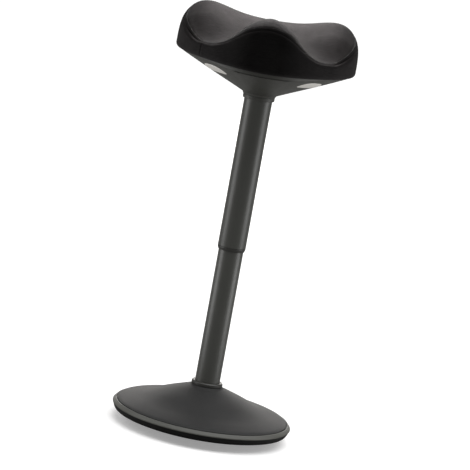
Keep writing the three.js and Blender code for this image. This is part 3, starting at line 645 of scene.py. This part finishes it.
def build_cushion():
    rings, kind, seam_index = seat_rings(0.0)
    obj = seat_mesh("seat_cushion", rings, float(z_top(0, 0)), M["knit"])
    me = obj.data
    me.update()
    n_pts = len(me.vertices)
    co = np.zeros(n_pts * 3)
    me.vertices.foreach_get("co", co)
    co = co.reshape(-1, 3)
    normal = np.zeros(n_pts * 3)
    me.vertices.foreach_get("normal", normal)
    normal = normal.reshape(-1, 3)
    ring_of = np.minimum(np.arange(n_pts) // N, len(rings) - 1)
    col = np.arange(n_pts) % N

    # distance along the surface from the seam
    dist = np.zeros(n_pts)
    for k in range(seam_index + 1, len(rings)):
        step = np.linalg.norm(rings[k] - rings[k - 1], axis=1)
        dist[k * N:(k + 1) * N] = dist[(k - 1) * N:k * N] + step
    for k in range(seam_index - 1, 1, -1):
        step = np.linalg.norm(rings[k] - rings[k + 1], axis=1)
        dist[k * N:(k + 1) * N] = dist[(k + 1) * N:(k + 2) * N] + step
    dist[-1] = dist[(len(rings) - 1) * N] + 3
    top = ring_of >= seam_index
    band = (ring_of >= 2) & (ring_of <= seam_index)

    move = np.zeros((n_pts, 3))
    small, _, _ = seat_rings(2.5)
    rest, disp = inflate(small, seam_index)
    length = np.linalg.norm(disp, axis=1)
    cap = 0.0060
    disp = disp * (cap * np.tanh(length / cap) / np.maximum(length, 1e-9))[:, None]
    tree = kdtree.KDTree(len(rest))
    for i, p in enumerate(rest):
        tree.insert(Vector(p), i)
    tree.balance()
    for i in range(n_pts):
        if ring_of[i] < 2:
            continue
        found = tree.find_n(Vector(co[i]), 8)
        w = np.array([1 / (d + 0.0015) ** 2 for _, _, d in found])
        idx = [k for _, k, _ in found]
        move[i] = (disp[idx] * w[:, None]).sum(0) / w.sum()
    puff = (move * normal).sum(1)
    grid = puff[2 * N:len(rings) * N].reshape(-1, N).copy()
    grid -= grid.mean(1)[:, None]
    for _ in range(50):
        grid = 0.5 * grid + 0.25 * (np.roll(grid, 1, 1) + np.roll(grid, -1, 1))
    for _ in range(8):
        padded = np.vstack([grid[:1], grid, grid[-1:]])
        grid = 0.5 * grid + 0.25 * (padded[:-2] + padded[2:])
    grid = 0.0022 * np.tanh(grid * 0.7 / 0.0022)
    soft = np.zeros(n_pts)
    soft[2 * N:len(rings) * N] = grid.ravel()
    soft[-1] = grid[-1].mean()
    soft *= np.where(band, sstep((co[:, 2] * 1000 - SEAT_Z - 5) / 14), 1.0)
    soft *= sstep(dist / 14)
    move = normal * soft[:, None]
    # sewn seam: both panels dip to it and puff beside it
    d = dist
    dip = np.where(top, -2.1 * np.exp(-(d / 2.2) ** 1.3) + 0.5 * np.exp(-((d - 9) / 6.0) ** 2),
                   np.where(band, -2.0 * np.exp(-(d / 2.2) ** 1.3) + 0.6 * np.exp(-((d - 7) / 5.0) ** 2), 0))
    # the band is closed by one upright seam at the front left corner
    front_left = np.argmin(np.hypot(RIM[:, 0] + 128.0, RIM[:, 1] + 65.6))
    across = ARC[col] - ARC[front_left]
    joint = -0.9 * np.exp(-(across / 1.4) ** 2) + 0.4 * np.exp(-((np.abs(across) - 4.0) / 2.2) ** 2)
    dip += np.where(band & (np.arange(n_pts) < len(rings) * N), joint * sstep((co[:, 2] * 1000 - SEAT_Z - 1) / 3), 0)
    # line of stitching on the top panel beside the seam
    dip += np.where(top, -0.45 * np.exp(-((d - 6.0) / 0.9) ** 2), 0)
    co2 = co + move + normal * (dip * MM)[:, None]
    me.vertices.foreach_set("co", co2.ravel())

    uv = me.uv_layers.new(name="weave")
    loops = np.zeros(len(me.loops), int)
    me.loops.foreach_get("vertex_index", loops)
    length = ARC[-1] + (ARC[1] - ARC[0])
    uvs = np.zeros((len(me.loops), 2))
    starts = np.zeros(len(me.polygons), int)
    totals = np.zeros(len(me.polygons), int)
    me.polygons.foreach_get("loop_start", starts)
    me.polygons.foreach_get("loop_total", totals)
    for p in range(len(me.polygons)):
        sl = slice(starts[p], starts[p] + totals[p])
        vi = loops[sl]
        if (ring_of[vi] >= seam_index).all():
            uvs[sl] = co2[vi][:, :2]
        elif (ring_of[vi] <= 1).all():
            uvs[sl] = co2[vi][:, :2]
        else:
            a = ARC[col[vi]].copy()
            if a.max() - a.min() > length / 2:
                a[a < length / 2] += length
            uvs[sl, 0] = a * MM
            uvs[sl, 1] = -dist[vi] * MM
    uv.data.foreach_set("uv", uvs.ravel())
    me.update()
    place(obj, "seat", "seat_fabric", "seat_cover", "seat_foam")
    return obj, co2, dist, ring_of, seam_index, len(rings)


cushion, CO, DIST, RING_OF, SEAM, NRINGS = build_cushion()


def build_stitches():
    """Short threads along the top panel, 6 mm inside the seam."""
    line = []
    for i in range(N):
        k = SEAM
        while k < NRINGS - 1 and DIST[k * N + i] < 6.0:
            k += 1
        a, b = (k - 1) * N + i, k * N + i
        t = (6.0 - DIST[a]) / max(1e-6, DIST[b] - DIST[a])
        line.append(CO[a] * (1 - t) + CO[b] * t)
    line = np.array(line)
    loop = np.vstack([line, line[:1]])
    s = np.concatenate([[0], np.cumsum(np.linalg.norm(np.diff(loop, axis=0), axis=1))])
    total = s[-1]
    pitch = total / round(total / 0.0042)
    bvh = BVHTree.FromPolygons([Vector(c) for c in CO], [tuple(p.vertices) for p in cushion.data.polygons])
    verts, faces = [], []
    k = 0
    side = 6
    while k * pitch < total - 1e-6:
        centre = k * pitch
        pts = []
        for q, lift in ((-0.42, -0.00045), (-0.3, 0.00012), (0.0, 0.00030), (0.3, 0.00012), (0.42, -0.00045)):
            w = (centre + q * pitch) % total
            p = np.array([np.interp(w, s, loop[:, c]) for c in range(3)])
            hit = bvh.find_nearest(Vector(p))
            pts.append(np.array(hit[0]) + np.array(hit[1]) * lift)
        for j, p in enumerate(pts):
            a, b = pts[max(0, j - 1)], pts[min(4, j + 1)]
            t = (b - a) / np.linalg.norm(b - a)
            up = np.array([0, 0, 1.0]) if abs(t[2]) < 0.9 else np.array([0, 1.0, 0])
            x = np.cross(t, up)
            x /= np.linalg.norm(x)
            y = np.cross(x, t)
            r = (0.00026, 0.00038, 0.00042, 0.00038, 0.00026)[j]
            for m in range(side):
                an = 2 * math.pi * m / side
                verts.append((p + x * math.cos(an) * r + y * math.sin(an) * r) * 1000)
        base = len(verts) - 5 * side
        for j in range(4):
            for m in range(side):
                m2 = (m + 1) % side
                faces.append((base + j * side + m, base + j * side + m2, base + (j + 1) * side + m2, base + (j + 1) * side + m))
        faces.append(tuple(base + m for m in range(side))[::-1])
        faces.append(tuple(base + 4 * side + m for m in range(side)))
        k += 1
    obj = mesh_object("seat_stitching", verts, faces, M["thread"], None)
    place(obj, "seat", "seat_fabric")


build_stitches()


# ------------------------------------------------------------------ seat pan and release paddles
def lever_axes(side):
    a = math.radians(24)
    return np.array([side * math.cos(a), -math.sin(a)]), np.array([-side * math.sin(a), -math.cos(a)])


def pan_edge():
    xy = inset(11.8)
    r = np.hypot(xy[:, 0], xy[:, 1])
    return r, xy[:, 0] / r, xy[:, 1] / r


EDGE_R, EDGE_C, EDGE_S = pan_edge()
EDGE_A = np.arctan2(EDGE_S, EDGE_C)
ORDER = np.argsort(EDGE_A)


def slope_z(t, z_rim):
    """Height of the pan's slope, t from the neck (0) to the rim (1)."""
    return 690.0 + (z_rim - 690.0) * t - 4.5 * t * (1 - t)


def flank(x, y):
    """Height of the pan's outside above a point of the plan."""
    q = math.atan2(y, x)
    re = float(np.interp(q, EDGE_A[ORDER], EDGE_R[ORDER], period=2 * math.pi))
    lip = float(np.interp(q, EDGE_A[ORDER], LIP[ORDER], period=2 * math.pi))
    return slope_z((math.hypot(x, y) - 36.4) / (re - 36.4), PAN_TOP - lip)


# outline of a release paddle in lever axes: a blade that follows the rim of the pan
PADDLE = [(90.5, 36), (99, 35), (106.5, 30.2), (112, 21.5), (116, 10), (118, -3), (118, -16), (115.8, -26), (111.5, -33),
          (105.5, -36), (101, -33), (98.6, -21), (96.4, -8), (94.6, 5), (92.8, 20)]


def grown(points, d):
    """Outline moved outwards by d all round."""
    n, out = len(points), []
    for i, (x, y) in enumerate(points):
        (ax, ay), (bx, by) = points[i - 1], points[(i + 1) % n]
        la, lb = math.hypot(x - ax, y - ay), math.hypot(bx - x, by - y)
        mx, my = -(y - ay) / la - (by - y) / lb, (x - ax) / la + (bx - x) / lb
        k = 2 * d / (mx * mx + my * my)
        out.append((x + mx * k, y + my * k))
    return out


def rounded_prism(side, x0, x1, half, z0, z1, r, name="cutter", poly=None):
    """Upright prism with rounded corners in lever axes."""
    u, v = lever_axes(side)
    if poly is None:
        poly = fillet([(x0, -half), (x1, -half), (x1, half), (x0, half)], r, 6)
    n = len(poly)
    verts = [(*(u * p[0] + v * p[1]), z0) for p in poly] + [(*(u * p[0] + v * p[1]), z1) for p in poly]
    faces = [tuple(range(n))[::-1], tuple(range(n, 2 * n))] + [(i, (i + 1) % n, n + (i + 1) % n, n + i) for i in range(n)]
    return mesh_object(name, verts, faces, M["pan"])


def build_pan():
    r, c, s, lip = EDGE_R, EDGE_C, EDGE_S, LIP
    wall = 3.0
    prof = []
    for i in range(N):
        # a slot runs along the lip at the nose
        g = 1 - float(sstep((abs(r[i] * c[i]) - 46) / 16)) if s[i] < 0 else 0.0
        z_rim = PAN_TOP - lip[i] - 1.2 * g
        o = [(31.8, 684.6), (32.2, 684.9), (32.6, 685.9), (33.2, 687.4), (34.5, 689.1)]
        span = r[i] - 36.4
        o += [(36.4 + span * t, slope_z(t, z_rim)) for t in (0.02, 0.06, 0.12, 0.2, 0.3, 0.4, 0.5, 0.6, 0.7, 0.78, 0.85, 0.9, 0.93)]
        o += [(r[i] - 4.4, slope_z(1 - 4.4 / span, z_rim)), (r[i] - 1.6, z_rim - 0.45), (r[i] - 0.35, z_rim - 0.05), (r[i] - 0.2, z_rim + 0.25)]
        o += [(r[i] - 0.3 - 2.5 * g, z_rim + 0.45), (r[i] - 0.3 - 2.5 * g, z_rim + 0.5 + 1.5 * g), (r[i] - 0.1, z_rim + 0.75 + 1.6 * g)]
        o += [(r[i], z_rim + 1.3 + 1.6 * g), (r[i], PAN_TOP - 0.5), (r[i] - 0.5, PAN_TOP)]
        top = min(z_rim + wall - 0.8, PAN_TOP - 0.8)
        inn = [(r[i] - 3.4, PAN_TOP), (r[i] - 4.4, top)]
        inn += [(36.4 + span * t, slope_z(t, z_rim) + wall) for t in (0.85, 0.7, 0.5, 0.3, 0.12, 0.02)]
        inn += [(28.6, 691), (28.6, 684.6)]
        prof.append(o + inn)
    prof = np.array(prof)
    m = prof.shape[1]
    verts, faces = [], []
    for k in range(m):
        for i in range(N):
            verts.append((prof[i, k, 0] * c[i], prof[i, k, 0] * s[i], prof[i, k, 1]))
    for k in range(m):
        k2 = (k + 1) % m
        for i in range(N):
            j = (i + 1) % N
            faces.append((k * N + i, k * N + j, k2 * N + j, k2 * N + i))
    pan = mesh_object("seat_pan_shell", verts, faces, M["pan"])
    hole = fillet(grown(PADDLE, 1.4), 4.0, 4)
    cutters = [rounded_prism(side, 0, 0, 0, 680, 760, 0, f"cut{side}", hole) for side in (-1, 1)]
    for x, y in ((118, 34), (-118, 34), (46, 88), (-46, 88)):
        cutters.append(lathe("hole", [(0, 690), (4.4, 690), (4.4, 745), (0, 745)], M["pan"], 40))
        cutters[-1].data.transform(Matrix.Translation((x * MM, y * MM, 0)))
    boolean(pan, cutters)
    mark_sharp(pan, 32)
    place(pan, "seat", "pan_plastic", "seat_pan")


build_pan()


def build_paddles():
    for side in (-1, 1):
        name = "left" if side < 0 else "right"
        u, v = lever_axes(side)
        plan = fillet(PADDLE, 4.0, 4)
        n = len(plan)
        centre = np.array([105.0, -2.0])
        verts, faces = [], []
        # thickness at the edge, then over the rounded rim on to the crowned face that follows the pan
        steps = [(0.96, 2.4, 0), (1.0, 1.9, 0), (1.0, 0.1, 0), (0.992, -0.5, 0), (0.965, -0.95, 0)]
        steps += [(q, -0.95 - 0.5 * (1 - q * q), 0) for q in (0.9, 0.8, 0.65, 0.5, 0.35, 0.2, 0.08)]
        for q, lift, _ in steps:
            for p in plan:
                w = centre + (np.array(p) - centre) * q
                x, y = u * w[0] + v * w[1]
                verts.append((x, y, flank(x, y) + lift))
        for k in range(len(steps) - 1):
            for i in range(n):
                j = (i + 1) % n
                faces.append((k * n + i, k * n + j, (k + 1) * n + j, (k + 1) * n + i))
        x, y = u * centre[0] + v * centre[1]
        verts.append((x, y, flank(x, y) - 1.45))
        verts.append((x, y, flank(x, y) + 2.4))
        last = (len(steps) - 1) * n
        for i in range(n):
            j = (i + 1) % n
            faces.append((last + i, last + j, len(verts) - 2))
            faces.append((j, i, len(verts) - 1))
        paddle = mesh_object(f"{name}_paddle_face", verts, faces, M["paddle"], 40)
        block = rounded_prism(side, 76, 108, 8, 729.4, 738.6, 1.5, "block")
        boolean(paddle, [block], "UNION")
        slotc = rounded_prism(side, 60, 94.4, 5.4, 730.6, 737.4, 0.5, "slot")
        boolean(paddle, [slotc])
        mark_sharp(paddle, 40)
        paddle.data.materials.clear()
        paddle.data.materials.append(M["paddle"])
        place(paddle, f"{name}_lever", "paddle_plastic", f"{name}_lever_paddle")


build_paddles()


# ------------------------------------------------------------------ floor, world and lights
def stage_and_lights():
    me = bpy.data.meshes.new("studio_floor")
    s = 14.0
    me.from_pydata([(-s, -s, 0), (s, -s, 0), (s, s, 0), (-s, s, 0)], [], [(0, 1, 2, 3)])
    mat, nt, b = new_material("studio_floor")
    b.inputs["Roughness"].default_value = 0.9
    b.inputs["Specular IOR Level"].default_value = 0.1
    b.inputs["Emission Color"].default_value = (1, 1, 1, 1)
    b.inputs["Emission Strength"].default_value = 0.30
    co = nt.nodes.new("ShaderNodeTexCoord")
    noise = node(nt, "ShaderNodeTexNoise", Scale=3.0, Detail=2.0)
    nt.links.new(co.outputs["Object"], noise.inputs["Vector"])
    mix = nt.nodes.new("ShaderNodeMix")
    mix.data_type = "RGBA"
    mix.inputs["A"].default_value, mix.inputs["B"].default_value = (0.80, 0.80, 0.80, 1), (0.83, 0.83, 0.83, 1)
    nt.links.new(noise.outputs["Fac"], mix.inputs["Factor"])
    nt.links.new(mix.outputs["Result"], b.inputs["Base Color"])
    # the floor is pale to the camera and throws less light back up on to the stool
    dim = nt.nodes.new("ShaderNodeBsdfDiffuse")
    dim.inputs["Color"].default_value = (0.26, 0.26, 0.255, 1)
    path = nt.nodes.new("ShaderNodeLightPath")
    pick = nt.nodes.new("ShaderNodeMixShader")
    nt.links.new(path.outputs["Is Camera Ray"], pick.inputs["Fac"])
    nt.links.new(dim.outputs["BSDF"], pick.inputs[1])
    nt.links.new(b.outputs["BSDF"], pick.inputs[2])
    nt.links.new(pick.outputs["Shader"], nt.nodes["Material Output"].inputs["Surface"])
    me.materials.append(mat)
    floor = link(bpy.data.objects.new("studio_floor", me))
    floor.location.z = -0.0002

    world = bpy.data.worlds.new("studio")
    scene.world = world
    world.use_nodes = True
    nt = world.node_tree
    nt.nodes.clear()
    out = nt.nodes.new("ShaderNodeOutputWorld")
    lp = nt.nodes.new("ShaderNodeLightPath")
    seen = nt.nodes.new("ShaderNodeBackground")
    seen.inputs["Color"].default_value, seen.inputs["Strength"].default_value = (1, 1, 1, 1), 1.0
    soft = nt.nodes.new("ShaderNodeBackground")
    soft.inputs["Color"].default_value, soft.inputs["Strength"].default_value = (1.0, 0.99, 0.97, 1), 0.09
    pick = nt.nodes.new("ShaderNodeMixShader")
    nt.links.new(lp.outputs["Is Camera Ray"], pick.inputs["Fac"])
    nt.links.new(soft.outputs[0], pick.inputs[1])
    nt.links.new(seen.outputs[0], pick.inputs[2])
    nt.links.new(pick.outputs[0], out.inputs["Surface"])

    # the cloth has its own lights, and the others leave it out, as flags and grids do in a studio
    cloth = [o for o in scene.objects if o.name in ("seat_cushion", "seat_stitching")]
    hard = [o for o in scene.objects if o.type == "MESH" and o.name not in ("seat_cushion", "seat_stitching", "studio_floor")]

    def group(name, members, state):
        c = bpy.data.collections.new(name)
        for o in members:
            c.objects.link(o)
        for link_to in c.collection_objects:
            link_to.light_linking.link_state = state
        return c

    only_cloth = group("lit_cloth", cloth, "INCLUDE")
    not_cloth = group("unlit_cloth", cloth, "EXCLUDE")
    only_hard = group("lit_hard", hard, "INCLUDE")
    only_tube = group("lit_tube", [o for o in hard if o.name == "column_tube_lower"], "INCLUDE")

    def area(name, at, to, size, power, colour=(1, 1, 1), lights=None):
        data = bpy.data.lights.new(name, "AREA")
        data.shape = "RECTANGLE"
        data.size, data.size_y = size
        data.energy, data.color = power, colour
        o = link(bpy.data.objects.new(name, data))
        o.location = at
        o.rotation_mode = "QUATERNION"
        o.rotation_quaternion = (Vector(to) - Vector(at)).to_track_quat("-Z", "Y")
        o.visible_camera = False
        o.light_linking.receiver_collection = lights or not_cloth
        return o

    area("soft_left", (-0.95, -0.10, 0.56), (0, 0, 0.5), (0.55, 1.15), 4.3)
    area("soft_right", (0.95, -0.10, 0.56), (0, 0, 0.5), (0.55, 1.15), 4.3)
    fill = area("front_fill", (0.0, -3.0, 1.0), (0, 0, 0.4), (2.2, 1.6), 17, lights=only_hard)
    fill.visible_glossy = False
    for side in (-1, 1):
        area(f"tube_low_{'left' if side < 0 else 'right'}", (0.45 * side, -0.05, 0.15), (0, 0, 0.15), (0.27, 0.28), 0.2, lights=only_tube)
    area("cloth_back", (0.0, 0.5, 1.12), (0, 0, 0.8), (0.35, 0.2), 4.5, (1.0, 0.98, 0.97), only_cloth)
    area("cloth_top", (0.0, 0.0, 1.10), (0, 0, 0.8), (0.2, 0.2), 1.0, (1.0, 0.98, 0.97), only_cloth)
    area("cloth_near", (0.0, 0.14, 0.98), (0, 0, 0.8), (0.14, 0.10), 1.5, (1.0, 0.98, 0.97), only_cloth)
    area("cloth_left", (-1.5, 0.5, 0.3), (0, 0, 0.8), (0.5, 0.5), 20, lights=only_cloth)
    area("cloth_right", (1.5, 0.5, 0.3), (0, 0, 0.8), (0.5, 0.5), 20, lights=only_cloth)
    area("soft_back", (0.0, 4.5, 1.5), (0, 0, 0.8), (5.0, 1.6), 110, (1.0, 0.97, 0.94))
    sun = bpy.data.lights.new("overhead", "SUN")
    sun.energy, sun.angle = 2.8, math.radians(60)
    o = link(bpy.data.objects.new("overhead", sun))
    o.rotation_euler = (math.radians(4), math.radians(6), 0)
    o.light_linking.receiver_collection = not_cloth
    scene.view_settings.view_transform = "Standard"
    scene.view_settings.look = "None"
    scene.view_settings.exposure = 0.0
    scene.view_settings.gamma = 1.0


stage_and_lights()
